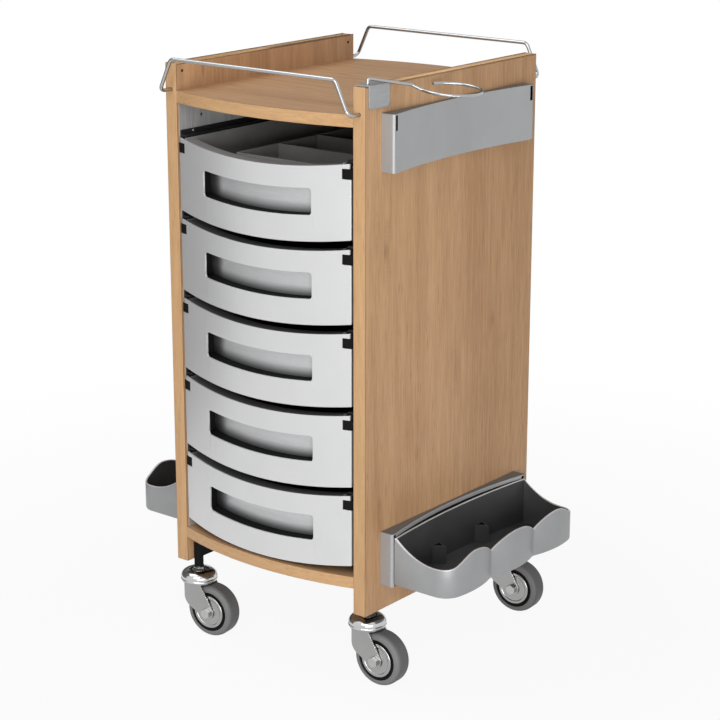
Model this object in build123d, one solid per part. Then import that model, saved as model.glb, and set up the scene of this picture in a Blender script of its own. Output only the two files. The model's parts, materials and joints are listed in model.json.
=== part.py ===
from build123d import *
import math
import os

os.makedirs("parts", exist_ok=True)

# Hairdressing-salon trolley: a bow-ended oak carcass on four swivel casters, with five curved drawers,
# wire gallery rails, hook-on bottle trays and a clip-on ring for a hair dryer.
# Millimetres. The origin is on the floor under the middle of the carcass, front towards -Y, up is +Z.

# Carcass
carcass_width = 338.0
carcass_depth = 374.0
side_height = 702.0
side_thickness = 19.0
floor_clearance = 108.0
board_thickness = 16.0
board_bulge = 23.0
bottom_board_rise = 36.0
gallery_height = 35.0
edge_band = 1.0
back_thickness = 4.0
back_inset = 3.0
back_groove = 5.0
back_play = 0.2
liner_thickness = 1.0
liner_setback = 4.0
liner_back_gap = 3.0

# Hidden fixings, and the small peg holes near the top of the side panels
snug = 0.05
hole_end_gap = 0.5
screw_clearance = 0.25
dowel_radius = 4.0
dowel_length = 30.0
dowel_in_side = 11.0
dowel_spacing = 130.0
peg_radius = 2.0
peg_depth = 8.0
peg_inset = 12.5
peg_drop = 10.0
spare_hole_radius = 1.8
spare_hole_rise = 11.6
spare_hole_inset = 30.0

# Gallery rails of bent wire
rail_wire_radius = 2.5
rail_standoff = 21.0
rail_socket = 22.0
rail_rise = 44.0
rail_lean = 21.0
rail_hole_drop = 34.0
rail_bend = 9.0

# Drawers
drawer_count = 5
drawer_pitch = 110.0
drawer_travel = 280.0
bottom_drawer_gap = 3.5
front_height = 98.0
front_bow = 11.5
front_inset = 1.5
front_sheet = 2.5
front_side_gap = 2.6
grip_width = 184.0
grip_height = 35.0
grip_above_middle = 3.0
grip_corner = 4.5
pocket_depth = 17.0
pocket_margin = 6.75
grip_plate = 1.0
notch_width = 12.0
notch_height = 13.5
notch_drop = 7.0
notch_strip_cut = 2.0
lug_play = 0.3
lug_recess = 0.4
lug_depth = 10.0
tray_wall = 2.5
tray_rise = 2.0
tray_rear_gap = 11.6
tray_corner = 12.0
rim_drop = 0.8
flange_thickness = 3.4
flange_end_gap = 0.6

# Runners on the inner faces of the sides
runner_web = 2.5
runner_height = 15.0
runner_reach = 11.5
runner_lip = 2.6
runner_play = 0.4
runner_tray_gap = 1.0
runner_front_setback = 5.0
runner_rear_setback = 0.6
runner_screw_drop = 2.8
runner_screw_radius = 1.75
runner_screw_length = 18.0
runner_screw_head_radius = 2.6
runner_screw_head = 1.3
runner_screw_front = 28.0
runner_screw_rear = 36.0

# Loose divider in the top drawer
divider_wall = 2.5
divider_bay = 71.0
divider_first = 102.0
divider_second = 184.0
divider_drop = 13.0
divider_play = 0.3

# Accessory holders on the outer faces
holder_length = 308.0
holder_height = 75.0
holder_reach = 21.0
holder_hollow = 15.0
holder_wall = 2.5
holder_corner = 4.0
holder_upper_drop = 35.0
slot_width = 4.0
slot_height = 19.0
slot_drop = 2.0
slot_end_inset = 6.0
boss_radius = 4.5
boss_inset = 14.0
holder_screw_radius = 2.0
holder_screw_head_radius = 3.6
holder_screw_head = 1.6
holder_screw_bite = 9.0

# Bottle trays
bottle_end_play = 4.0
bottle_reach = 114.0
bottle_lobe = 8.0
bottle_lobes = 3
bottle_wall = 2.5
bottle_gap = 0.6
bottle_floor_rise = 2.5
bottle_back_height = 67.5
bottle_low_rim = 38.0
bottle_hump = 17.0
bottle_corner = 25.0
bottle_rim_run = 66.0
bottle_rim_sag = 9.0
post_base = 21.0
post_depth = 18.0
post_height = 25.0
post_wall = 2.0
hook_neck = 7.7
hook_tooth = 6.0
hook_thickness = 3.0
hook_play = 0.3
hook_lift = 8.0

# Dryer ring and its clip
clip_width = 42.0
clip_drop = 28.0
clip_lip = 7.0
clip_sheet = 1.5
clip_play = 0.3
clip_setback = 6.0
clip_corner = 4.0
ring_wire_radius = 2.0
ring_radius = 38.0
ring_out = 44.5
ring_back = 119.0
ring_drop = 12.0
ring_tilt = 4.5
ring_start = -105.0
ring_sweep = 270.0
ring_lead = 11.0
wire_stub_in = 8.0
wire_stub_back = 15.0
wire_stub_rise = 7.5
wire_knee_out = 15.0
wire_knee_back = 74.0
wire_knee_drop = 3.0

# Casters
caster_rail_width = 13.0
caster_rail_gap = 6.0
caster_spacing = 320.0
caster_shift = 11.0
socket_radius = 6.5
socket_low = 98.0
stem_radius = 5.0
stem_grip = 34.0
stem_head_radius = 8.0
stem_head = 2.6
washer_radius = 10.0
washer_thickness = 2.4
nut_radius = 8.6
nut_height = 4.6
wheel_radius = 37.5
tyre_width = 28.0
tyre_shoulder = 8.0
rim_radius = 28.8
rim_recess = 1.5
rim_ring = 4.8
rim_web = 12.0
hub_radius = 9.0
axle_radius = 4.0
axle_stub = 2.0
bolt_head_radius = 7.5
bolt_head = 5.0
caster_trail = 25.0
guard_sheet = 1.4
guard_play = 0.2
guard_bead = 3.0
guard_bead_rise = 0.9
fork_sheet = 2.5
fork_boss = 10.5
fork_half = 13.0
fork_cheek = 18.0
fork_cheek_rise = 20.5
crown_radius = 24.5
fork_headroom = 2.0
bearing_radius = 9.0
bearing_height = 10.5
dome_radius = 26.0
dome_foot = 25.0
dome_sheet = 1.5
dome_height = 14.0
dome_waist = 1.5
dome_mouth = 14.0
axial_play = 0.3
caster_yaws = {"front_left": 6.8, "front_right": 2.1, "rear_left": 5.0, "rear_right": 4.6}

# Heights and half sizes that follow from the sizes above
half_out = carcass_width / 2
half_in = half_out - side_thickness
half_depth = carcass_depth / 2
panel_top = floor_clearance + side_height
bottom_board_z = floor_clearance + bottom_board_rise
cabinet_floor = bottom_board_z + board_thickness
top_board_top = panel_top - gallery_height
top_board_z = top_board_top - board_thickness
liner_face = half_in - liner_thickness

# The curved ends of the boards are arcs struck from one centre for the front and its mirror for the rear
board_radius = (half_in**2 + board_bulge**2) / (2 * board_bulge)
arc_centre = board_radius - half_depth - board_bulge
back_face_radius = board_radius - back_inset - back_thickness
liner_rear = math.sqrt(back_face_radius**2 - half_in**2) - arc_centre - liner_back_gap
runner_end = liner_rear - runner_rear_setback
tray_back = liner_rear - tray_rear_gap

# The drawer fronts are struck from the same centre, and their edges sag by the bow in front view
sheet_out = board_radius - front_inset
sheet_in = sheet_out - front_sheet
wall_out = sheet_in - pocket_depth
wall_in = wall_out - tray_wall
front_half = liner_face - front_side_gap
grip_rise = (front_height - grip_height) / 2 + grip_above_middle
bow_radius = (front_half**2 + front_bow**2) / (2 * front_bow)
drawer_base = cabinet_floor + bottom_drawer_gap + front_bow
tray_half = liner_face - runner_reach - runner_tray_gap
flange_half = liner_face - runner_web - flange_end_gap
flange_top = front_height
flange_low = flange_top - flange_thickness
rim_top = front_height - rim_drop
rim_low = rim_top - tray_wall
runner_low = flange_low - runner_play - runner_lip
screw_level = runner_low + runner_height - runner_screw_drop


def box_between(low, high):
    """Block between two opposite corners."""
    sizes = [abs(b - a) for a, b in zip(low, high)]
    middle = [(a + b) / 2 for a, b in zip(low, high)]
    return Pos(*middle) * Box(*sizes)


def rod(start, direction, radius, length):
    """Round bar from a point along a direction."""
    return extrude(Plane(origin=start, z_dir=direction) * Circle(radius), amount=length)


def hex_bar(start, direction, radius, length):
    """Hexagonal bar from a point along a direction, sized over its corners."""
    return extrude(Plane(origin=start, z_dir=direction) * RegularPolygon(radius, 6), amount=length)


def slab(edges, direction, amount):
    """Prism over a closed outline."""
    return extrude(Face(Wire(edges)), amount=amount, dir=direction)


def arc_end(radius, half_width):
    """Depth at which an arc about the front centre meets a half width."""
    return arc_centre - math.sqrt(radius**2 - half_width**2)


def front_arc(radius, half_width, z):
    """Edge of an arc about the front centre, from left to right."""
    end = arc_end(radius, half_width)
    return ThreePointArc((-half_width, end, z), (0, arc_centre - radius, z), (half_width, end, z))


def bow_ring(outer, inner, half_width, low, high):
    """Curved wall between two arcs about the front centre."""
    near = front_arc(outer, half_width, low)
    far = front_arc(inner, half_width, low)
    edges = [near, Line(near @ 1, far @ 1), far, Line(far @ 0, near @ 0)]
    return slab(edges, (0, 0, 1), high - low)


def bow_drop(x):
    """How far a drawer front's edge sags below its ends at a distance from the middle."""
    return math.sqrt(bow_radius**2 - x**2) - (bow_radius - front_bow)


def bowed_band(half_width, low, high, near, far):
    """Prism along the depth between two sagging edges, given by their heights at the front's ends."""
    drop = bow_drop(half_width)
    under = ThreePointArc(
        (-half_width, near, low - drop), (0, near, low - front_bow), (half_width, near, low - drop)
    )
    over = ThreePointArc(
        (-half_width, near, high - drop), (0, near, high - front_bow), (half_width, near, high - drop)
    )
    edges = [under, Line(under @ 1, over @ 1), over, Line(over @ 0, under @ 0)]
    return slab(edges, (0, 1, 0), far - near)


def both_sides(piece):
    """A piece and its mirror image on the other side of the trolley."""
    return [piece, mirror(piece, about=Plane.YZ)]


def save(name, *pieces):
    """Write one node, with its pieces as separate solids."""
    solids = [solid for piece in pieces for solid in piece.solids()]
    node = solids[0] if len(solids) == 1 else Compound(children=solids)
    node.label = name
    export_step(node, f"parts/{name}.step")


# Side panels: veneered board with banded front, rear and top edges
rail_hole_z = panel_top - rail_hole_drop
rail_hole_x = half_out - side_thickness / 2
dowel_rows = [-dowel_spacing, 0, dowel_spacing]
dowel_heights = [bottom_board_z + board_thickness / 2, top_board_z + board_thickness / 2]
drawer_levels = [drawer_base + drawer_pitch * (drawer_count - 1 - i) for i in range(drawer_count)]
screw_rows = [-half_depth + runner_screw_front, runner_end - runner_screw_rear]
holder_upper_z = panel_top - holder_upper_drop - holder_height
holder_lower_z = bottom_board_z
boss_rows = [-holder_length / 2 + boss_inset, holder_length / 2 - boss_inset]
boss_heights = [level + holder_height / 2 for level in (holder_upper_z, holder_lower_z)]
holder_holes = [(y, z) for z in boss_heights for y in boss_rows]


def rail_hole(side_y):
    """Hole for a rail's end in the front or rear edge of the right panel."""
    inner_y = side_y * (half_depth - rail_socket - hole_end_gap)
    length = rail_socket + hole_end_gap + edge_band
    return rod((rail_hole_x, inner_y, rail_hole_z), (0, side_y, 0), rail_wire_radius + snug, length)


def side_panel():
    """Right-hand side panel, with every hole that its fittings need."""
    panel = box_between(
        (half_in, -half_depth + edge_band, floor_clearance),
        (half_out, half_depth - edge_band, panel_top - edge_band),
    )
    for side_y in (-1, 1):
        panel -= rail_hole(side_y)
        peg_at = (half_in, side_y * (half_depth - peg_inset), panel_top - peg_drop)
        panel -= rod(peg_at, (1, 0, 0), peg_radius, peg_depth)
    for y in dowel_rows:
        for z in dowel_heights:
            panel -= rod((half_in, y, z), (1, 0, 0), dowel_radius + snug, dowel_in_side + hole_end_gap)
    for level in drawer_levels:
        for y in screw_rows:
            tip = liner_face - runner_web + runner_screw_length + hole_end_gap
            panel -= rod(
                (half_in, y, level + screw_level), (1, 0, 0), runner_screw_radius + snug, tip - half_in
            )
    for y, z in holder_holes:
        panel -= rod((half_in, y, z), (1, 0, 0), holder_screw_radius + screw_clearance, side_thickness)
    return panel


save("side_panel_right", side_panel())
save("side_panel_left", mirror(side_panel(), about=Plane.YZ))


# Boards: both ends curved, with a groove for the back panel and dowel holes in the sides
def board(low, groove_low):
    """Top or bottom board, without the banding on its curved edges."""
    front = front_arc(board_radius - edge_band, half_in, low)
    end = arc_end(board_radius - edge_band, half_in)
    crown = arc_centre - board_radius + edge_band
    rear = ThreePointArc((half_in, -end, low), (0, -crown, low), (-half_in, -end, low))
    edges = [front, Line(front @ 1, rear @ 0), rear, Line(rear @ 1, front @ 0)]
    plate = slab(edges, (0, 0, 1), board_thickness)
    groove = bow_ring(
        board_radius - back_inset + back_play,
        board_radius - back_inset - back_thickness - back_play,
        half_in,
        groove_low,
        groove_low + back_groove,
    )
    plate -= mirror(groove, about=Plane.XZ)
    for y in dowel_rows:
        for side in (-1, 1):
            inner_x = side * (half_in - dowel_length + dowel_in_side - hole_end_gap)
            length = dowel_length - dowel_in_side + hole_end_gap
            start = (inner_x, y, low + board_thickness / 2)
            plate -= rod(start, (side, 0, 0), dowel_radius + snug, length)
    return plate


save("top_board", board(top_board_z, top_board_z))
save("bottom_board", board(bottom_board_z, cabinet_floor - back_groove))

dowels = []
for y in dowel_rows:
    for z in dowel_heights:
        start = (half_in - dowel_length + dowel_in_side, y, z)
        dowels += both_sides(rod(start, (1, 0, 0), dowel_radius, dowel_length))
save("dowels", *dowels)

# Back panel: a bent sheet standing in the grooves of both boards
back_panel = bow_ring(
    board_radius - back_inset,
    board_radius - back_inset - back_thickness,
    half_in,
    cabinet_floor - back_groove + back_play,
    top_board_z + back_groove - back_play,
)
save("back_panel", mirror(back_panel, about=Plane.XZ))

# Edge bands: straight strips on the side panels, bent strips on the boards
bands = []
for side_y in (-1, 1):
    strip = box_between(
        (half_in, side_y * half_depth, floor_clearance),
        (half_out, side_y * (half_depth - edge_band), panel_top),
    )
    bands += both_sides(strip - rail_hole(side_y))
top_strip = box_between(
    (half_in, -half_depth + edge_band, panel_top - edge_band), (half_out, half_depth - edge_band, panel_top)
)
bands += both_sides(top_strip)
for low in (bottom_board_z, top_board_z):
    bent = bow_ring(board_radius, board_radius - edge_band, half_in, low, low + board_thickness)
    bands += [bent, mirror(bent, about=Plane.XZ)]
save("edge_bands", *bands)


# Liners: thin grey sheets on the inner faces of the sides, between the boards
def liner():
    """Right-hand liner sheet."""
    sheet = box_between(
        (liner_face, -half_depth + liner_setback, cabinet_floor),
        (half_in, liner_rear, top_board_z),
    )
    for level in drawer_levels:
        for y in screw_rows:
            start = (liner_face, y, level + screw_level)
            sheet -= rod(start, (1, 0, 0), runner_screw_radius + snug, liner_thickness)
    for y, z in holder_holes:
        sheet -= rod((liner_face, y, z), (1, 0, 0), holder_screw_radius + screw_clearance, liner_thickness)
    spare_at = (liner_face, -half_depth + spare_hole_inset, drawer_levels[0] + front_height + spare_hole_rise)
    return sheet - rod(spare_at, (1, 0, 0), spare_hole_radius, liner_thickness)


save("liner_right", liner())
save("liner_left", mirror(liner(), about=Plane.YZ))


# Runners: a two-lipped channel for each side of each drawer, screwed through the liner
def runner(level):
    """Right-hand runner of one drawer."""
    near = -half_depth + runner_front_setback
    low = level + runner_low
    web_x = liner_face - runner_web
    profile = box_between((web_x, near, low), (liner_face, runner_end, low + runner_height))
    for lip_low in (low, level + flange_top + runner_play):
        lip_from = (liner_face - runner_reach, near, lip_low)
        profile += box_between(lip_from, (liner_face, runner_end, lip_low + runner_lip))
    for y in screw_rows:
        start = (web_x, y, level + screw_level)
        profile -= rod(start, (1, 0, 0), runner_screw_radius + snug, runner_web)
    return profile


def pan_screw(start, radius, length, head_radius, head):
    """Screw driven towards +X, with a round-edged pan head."""
    cap = rod(start, (-1, 0, 0), head_radius, head)
    return rod(start, (1, 0, 0), radius, length) + fillet(cap.edges().sort_by(Axis.X)[0], head / 2)


def runner_screw(level, y):
    """Screw of a right-hand runner."""
    start = (liner_face - runner_web, y, level + screw_level)
    return pan_screw(
        start, runner_screw_radius, runner_screw_length, runner_screw_head_radius, runner_screw_head
    )


right_runners = [runner(level) for level in drawer_levels]
save("runners_right", *right_runners)
save("runners_left", *[mirror(piece, about=Plane.YZ) for piece in right_runners])
runner_screws = []
for level in drawer_levels:
    for y in screw_rows:
        runner_screws += both_sides(runner_screw(level, y))
save("runner_screws", *runner_screws)


# Gallery rails: one length of wire each, bent up from sockets in the side panels' edges
def gallery_rail(side_y):
    """Front or rear rail."""
    socket_y = side_y * (half_depth - rail_socket)
    bar_y = side_y * (half_depth + rail_standoff)
    bar_x = rail_hole_x - rail_lean
    bar_z = rail_hole_z + rail_rise
    route = FilletPolyline(
        (-rail_hole_x, socket_y, rail_hole_z),
        (-rail_hole_x, bar_y, rail_hole_z),
        (-bar_x, bar_y, bar_z),
        (bar_x, bar_y, bar_z),
        (rail_hole_x, bar_y, rail_hole_z),
        (rail_hole_x, socket_y, rail_hole_z),
        radius=rail_bend,
    )
    section = Plane(origin=route @ 0, z_dir=route % 0) * Circle(rail_wire_radius)
    return sweep(section, path=route)


save("gallery_rail_front", gallery_rail(-1))
save("gallery_rail_rear", gallery_rail(1))

# Drawers, made at level zero: the height of the front's lower corners
grip_half = grip_width / 2
grip_high = grip_rise + grip_height
front_near = arc_centre - sheet_out - lug_depth
front_far = 0.0
notch_high = front_height - notch_drop
notch_low = notch_high - notch_height
notch_x = front_half - notch_width


def drawer_front():
    """Bent sheet with sagging edges, a rounded grip opening and a notch at each top corner."""
    sheet = bow_ring(sheet_out, sheet_in, front_half, -front_bow, front_height)
    sheet &= bowed_band(front_half, 0, front_height, front_near, front_far)
    grip = bowed_band(grip_half, grip_rise, grip_high, front_near, front_far)
    sheet -= fillet(grip.edges().filter_by(Axis.Y), grip_corner)
    notch = box_between((notch_x, front_near, notch_low), (half_in, front_far, notch_high))
    strip = box_between(
        (front_half - notch_strip_cut, front_near, notch_low), (half_in, front_far, front_height)
    )
    for cut in both_sides(notch) + both_sides(strip):
        sheet -= cut
    return sheet


def tray_prism(radius, half_width, back, low, high, corner):
    """Upright prism with a curved front and rounded rear corners."""
    front = front_arc(radius, half_width, low)
    right = (half_width, back, low)
    left = (-half_width, back, low)
    edges = [front, Line(front @ 1, right), Line(right, left), Line(left, front @ 0)]
    prism = slab(edges, (0, 0, 1), high - low)
    rear = prism.edges().filter_by(Axis.Z).group_by(Axis.Y)[-1]
    return fillet(rear, corner)


def pocket_space(outer):
    """Hollow behind the front sheet, under the sagging rim."""
    floor_top = tray_rise + tray_wall
    space = bow_ring(outer, wall_out, tray_half - tray_wall, floor_top, front_height)
    return space - bowed_band(front_half, rim_low, front_height * 2, front_near, front_far)


def drawer_tray():
    """Moulded tray: walls, floor, grip pocket, side flanges, and wings with lugs that hold the front sheet."""
    inner_half = tray_half - tray_wall
    floor_top = tray_rise + tray_wall
    tray = tray_prism(sheet_in, tray_half, tray_back, tray_rise, flange_top, tray_corner)
    tray -= tray_prism(
        wall_in, inner_half, tray_back - tray_wall, floor_top, front_height, tray_corner - tray_wall
    )
    tray -= pocket_space(sheet_out)
    tray -= bowed_band(inner_half, rim_top, front_height * 2, front_near, arc_end(wall_in, inner_half))
    hollow = pocket_space(sheet_in)
    rib_x = grip_half + pocket_margin
    rib = box_between((rib_x, front_near, floor_top), (rib_x + tray_wall, front_far, front_height))
    for piece in both_sides(rib):
        tray += hollow & piece
    shelf_top = grip_rise - lug_play
    shelf = bowed_band(rib_x + tray_wall / 2, shelf_top - tray_wall, shelf_top, front_near, front_far)
    tray += hollow & shelf
    flange = box_between(
        (tray_half - tray_wall / 2, arc_end(sheet_in, flange_half), flange_low),
        (flange_half, tray_back - tray_corner, flange_top),
    )
    lug_x = liner_face - flange_end_gap
    lug_low = notch_low + lug_play
    lug_high = notch_high - lug_play
    lug = bow_ring(sheet_in - snug, sheet_in - lug_depth, lug_x, lug_low, lug_high)
    lug &= box_between((tray_half - tray_wall / 2, front_near, lug_low), (half_in, front_far, lug_high))
    nose = bow_ring(sheet_out - lug_recess, sheet_in - tray_wall, lug_x, lug_low, lug_high)
    nose &= box_between((notch_x + lug_play, front_near, lug_low), (half_in, front_far, lug_high))
    wing = bow_ring(sheet_in - snug, sheet_in - tray_wall, lug_x, tray_rise, lug_high)
    wing &= box_between((tray_half - tray_wall / 2, front_near, tray_rise), (half_in, front_far, lug_high))
    for piece in both_sides(flange) + both_sides(lug + nose + wing):
        tray += piece
    return tray


def drawer_grip_plate():
    """Thin curved plate lining the back of the grip pocket."""
    plate_half = grip_half + pocket_margin - lug_play
    plate = bow_ring(wall_out + grip_plate, wall_out, plate_half, 0, front_height)
    return plate & bowed_band(plate_half, grip_rise, rim_low - lug_play, front_near, front_far)


front_sheet_piece = drawer_front()
tray_piece = drawer_tray()
plate_piece = drawer_grip_plate()
for number, level in enumerate(drawer_levels, start=1):
    save(f"drawer_front_{number}", Pos(0, 0, level) * front_sheet_piece)
    save(f"drawer_tray_{number}", Pos(0, 0, level) * tray_piece)
    save(f"grip_plate_{number}", Pos(0, 0, level) * plate_piece)


# Divider: one lengthwise wall and three cross walls, dropped into the top tray
def divider():
    """Loose insert that parts the top tray into one long and three short compartments."""
    inner_half = tray_half - tray_wall
    low = tray_rise + tray_wall
    top = front_height - divider_drop
    wall_x = -inner_half + divider_bay
    front_y = arc_end(wall_in, inner_half) + divider_play
    back_y = tray_back - tray_wall - divider_play
    insert = box_between((wall_x, front_y, low), (wall_x + divider_wall, back_y, top))
    for y in (front_y, -half_depth + divider_first, -half_depth + divider_second):
        insert += box_between((wall_x, y, low), (inner_half - divider_play, y + divider_wall, top))
    return insert


save("drawer_divider", Pos(0, 0, drawer_levels[0]) * divider())

# Accessory holders: hollow casings with a hollowed-out face and a hook slot at each top corner
holder_half = holder_length / 2
holder_radius = (holder_half**2 + holder_hollow**2) / (2 * holder_hollow)
holder_centre = half_out + holder_reach - holder_hollow + holder_radius
slot_y = holder_half - slot_end_inset
slot_low = holder_height - slot_drop - slot_height


def hollow_face(radius, y):
    """Sideways position of an arc about the holders' centre at a depth."""
    return holder_centre - math.sqrt(radius**2 - y**2)


def holder_prism(radius, half_length, low, high):
    """Prism between the side panel's face and a hollow arc."""
    x = hollow_face(radius, half_length)
    face = ThreePointArc((x, -half_length, low), (hollow_face(radius, 0), 0, low), (x, half_length, low))
    back_right = (half_out, half_length, low)
    back_left = (half_out, -half_length, low)
    edges = [face, Line(face @ 1, back_right), Line(back_right, back_left), Line(back_left, face @ 0)]
    return slab(edges, (0, 0, 1), high - low)


def holder(level):
    """Right-hand accessory holder."""
    shell = holder_prism(holder_radius, holder_half, 0, holder_height)
    uprights = shell.edges().filter_by(Axis.Z)
    shell = fillet([e for e in uprights if e.center().X > half_out + holder_wall], holder_corner)
    inside_top = holder_height - holder_wall
    shell -= holder_prism(holder_radius + holder_wall, holder_half - holder_wall, holder_wall, inside_top)
    for y in boss_rows:
        reach = hollow_face(holder_radius + holder_wall / 2, y) - half_out
        start = (half_out, y, holder_height / 2)
        shell += rod(start, (1, 0, 0), boss_radius, reach)
        shell -= rod(start, (1, 0, 0), holder_screw_radius + snug, holder_screw_bite + hole_end_gap)
    for y in (-slot_y, slot_y):
        shell -= box_between(
            (half_out + holder_wall, y - slot_width / 2, slot_low),
            (half_out + holder_reach * 2, y + slot_width / 2, slot_low + slot_height),
        )
    return Pos(0, 0, level) * shell


save("accessory_holder_upper_right", holder(holder_upper_z))
save("accessory_holder_lower_right", holder(holder_lower_z))
save("accessory_holder_lower_left", mirror(holder(holder_lower_z), about=Plane.YZ))

# Bottle trays: moulded troughs with a lobed outer wall, hooked into the lower holders
bottle_half = holder_half - bottle_end_play
lobe_half = bottle_half / bottle_lobes
lobe_radius = (lobe_half**2 + bottle_lobe**2) / (2 * bottle_lobe)
lobe_centre = half_out + bottle_reach - lobe_radius
lobe_rows = [lobe_half * (2 * i + 1 - bottle_lobes) for i in range(bottle_lobes)]
bottle_low = bottle_floor_rise
bottle_top = bottle_low + bottle_back_height
rim_low_z = bottle_low + bottle_low_rim


def bottle_prism(inset, low, high):
    """Prism over the tray's plan, set in from its outer faces."""
    half = bottle_half - inset
    back_radius = holder_radius - bottle_gap - inset
    radius = lobe_radius - inset
    back_x = hollow_face(back_radius, half)
    edges = [
        ThreePointArc((back_x, half, low), (hollow_face(back_radius, 0), 0, low), (back_x, -half, low))
    ]
    corner = (back_x, -half, low)
    for y in lobe_rows:
        ends = [max(y - lobe_half, -half), min(y + lobe_half, half)]
        points = [(lobe_centre + math.sqrt(radius**2 - (end - y) ** 2), end, low) for end in ends]
        if y == lobe_rows[0]:
            edges.append(Line(corner, points[0]))
        edges.append(ThreePointArc(points[0], (lobe_centre + radius, y, low), points[1]))
        corner = points[1]
    edges.append(Line(corner, (back_x, half, low)))
    prism = slab(edges, (0, 0, 1), high - low)
    uprights = prism.edges().filter_by(Axis.Z)
    far_side = half_out + bottle_reach / 2
    outer = [e for e in uprights if abs(e.center().Y) > half - snug and e.center().X > far_side]
    return fillet(outer, bottle_corner - inset)


def bottle_rim_cut():
    """What is cut from above the rim: falling sides, and a hump over each lobe."""
    start_x = hollow_face(holder_radius - bottle_gap, bottle_half)
    end_x = start_x + bottle_rim_run
    beyond = half_out + bottle_reach * 2
    fall = ThreePointArc(
        (start_x, 0, bottle_top),
        ((start_x + end_x) / 2, 0, (bottle_top + rim_low_z) / 2 - bottle_rim_sag),
        (end_x, 0, rim_low_z),
    )
    over = bottle_top * 2
    outline = [
        fall,
        Line(fall @ 1, (beyond, 0, rim_low_z)),
        Line((beyond, 0, rim_low_z), (beyond, 0, over)),
        Line((beyond, 0, over), (start_x, 0, over)),
        Line((start_x, 0, over), fall @ 0),
    ]
    side_band = bottle_corner / 2
    side_cut = Pos(0, bottle_half - side_band, 0) * slab(outline, (0, 1, 0), side_band * 2)
    crest = rim_low_z + bottle_hump
    humps = []
    for y in lobe_rows:
        low_end = max(y - lobe_half, -bottle_half + side_band)
        high_end = min(y + lobe_half, bottle_half - side_band)
        middle = (low_end + high_end) / 2
        humps.append(
            ThreePointArc((end_x, low_end, rim_low_z), (end_x, middle, crest), (end_x, high_end, rim_low_z))
        )
    first = humps[0] @ 0
    last = humps[-1] @ 1
    roof = [
        Line(last, (end_x, last.Y, over)),
        Line((end_x, last.Y, over), (end_x, first.Y, over)),
        Line((end_x, first.Y, over), first),
    ]
    lobe_cut = slab(humps + roof, (1, 0, 0), beyond - end_x)
    return [side_cut, mirror(side_cut, about=Plane.XZ), lobe_cut]


def bottle_post(y):
    """Hollow three-cornered post that keeps bottles apart, standing against the back wall."""
    wall_x = hollow_face(holder_radius - bottle_gap - bottle_wall / 2, y)
    floor_z = bottle_low + bottle_wall / 2
    post_top = bottle_low + bottle_wall + post_height
    edges = []
    corners = [
        (wall_x, y - post_base / 2, floor_z),
        (wall_x + post_depth, y, floor_z),
        (wall_x, y + post_base / 2, floor_z),
    ]
    for a, b in zip(corners, corners[1:] + corners[:1]):
        edges.append(Line(a, b))
    post = slab(edges, (0, 0, 1), post_top - floor_z)
    bore = offset(Face(Wire(edges)), -post_wall, kind=Kind.INTERSECTION)
    bore_low = Pos(0, 0, bottle_wall) * bore
    return post - extrude(bore_low, amount=post_height * 2, dir=(0, 0, 1))


def bottle_hook(y):
    """Neck through a holder's slot with a tooth that drops behind its face."""
    face_out = hollow_face(holder_radius, y)
    behind = face_out - holder_wall * 1.1 - hook_play
    low = slot_low + hook_play
    tray_x = hollow_face(holder_radius - bottle_gap - bottle_wall / 2, y)
    near = y - hook_thickness / 2
    far = y + hook_thickness / 2
    neck = box_between((behind, near, low), (tray_x, far, low + hook_neck))
    tooth = box_between(
        (behind - hook_thickness, near, low - hook_tooth), (behind, far, low + hook_neck)
    )
    return neck + tooth


def bottle_tray():
    """Right-hand bottle tray."""
    tray = bottle_prism(0, bottle_low, bottle_top)
    tray -= bottle_prism(bottle_wall, bottle_low + bottle_wall, bottle_top)
    for cut in bottle_rim_cut():
        tray -= cut
    for y in (-lobe_half, lobe_half):
        tray += bottle_post(y)
    for y in (-slot_y, slot_y):
        tray += bottle_hook(y)
    return Pos(0, 0, holder_lower_z) * tray


save("bottle_tray_right", bottle_tray())
save("bottle_tray_left", mirror(bottle_tray(), about=Plane.YZ))

# Holder screws: driven from inside the carcass through liner and panel into the holders' bosses
holder_screws = []
for y, z in holder_holes:
    length = half_out - liner_face + holder_screw_bite
    screw = pan_screw(
        (liner_face, y, z), holder_screw_radius, length, holder_screw_head_radius, holder_screw_head
    )
    holder_screws.append(screw)
    if z == boss_heights[1]:
        holder_screws.append(mirror(screw, about=Plane.YZ))
save("holder_screws", *holder_screws)

# Dryer clip: a bent sheet over the top edge of the right panel
clip_front = -half_depth + clip_setback
clip_back = clip_front + clip_width
clip_top = panel_top + clip_play + clip_sheet
stub_at = (half_out - wire_stub_in, clip_front + wire_stub_back - clip_setback)


def dryer_clip():
    """Plate outside, strip over the edge and a short lip inside."""
    outer_x = half_out + clip_play
    inner_x = half_in - clip_play
    plate = box_between(
        (outer_x, clip_front, panel_top - clip_drop), (outer_x + clip_sheet, clip_back, clip_top)
    )
    lower_corners = plate.edges().filter_by(Axis.X).group_by(Axis.Z)[0]
    plate = fillet(lower_corners, clip_corner)
    strip = box_between(
        (inner_x - clip_sheet, clip_front, panel_top + clip_play), (outer_x + clip_sheet, clip_back, clip_top)
    )
    lip = box_between(
        (inner_x - clip_sheet, clip_front, panel_top - clip_lip), (inner_x, clip_back, clip_top)
    )
    clip = plate + strip + lip
    return clip - rod((*stub_at, panel_top), (0, 0, 1), ring_wire_radius + snug, clip_drop)


save("dryer_clip", dryer_clip())


# Dryer ring: wire set into the clip, run off beside the panel and closed into an open hoop
def hoop_point(angle):
    """Point on the hoop's centre line, which leans down and away from the panel."""
    away = ring_radius * math.cos(math.radians(angle))
    along = ring_radius * math.sin(math.radians(angle))
    dip = away * math.tan(math.radians(ring_tilt))
    return Vector(half_out + ring_out + away, -half_depth + ring_back + along, panel_top - ring_drop - dip)


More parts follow.
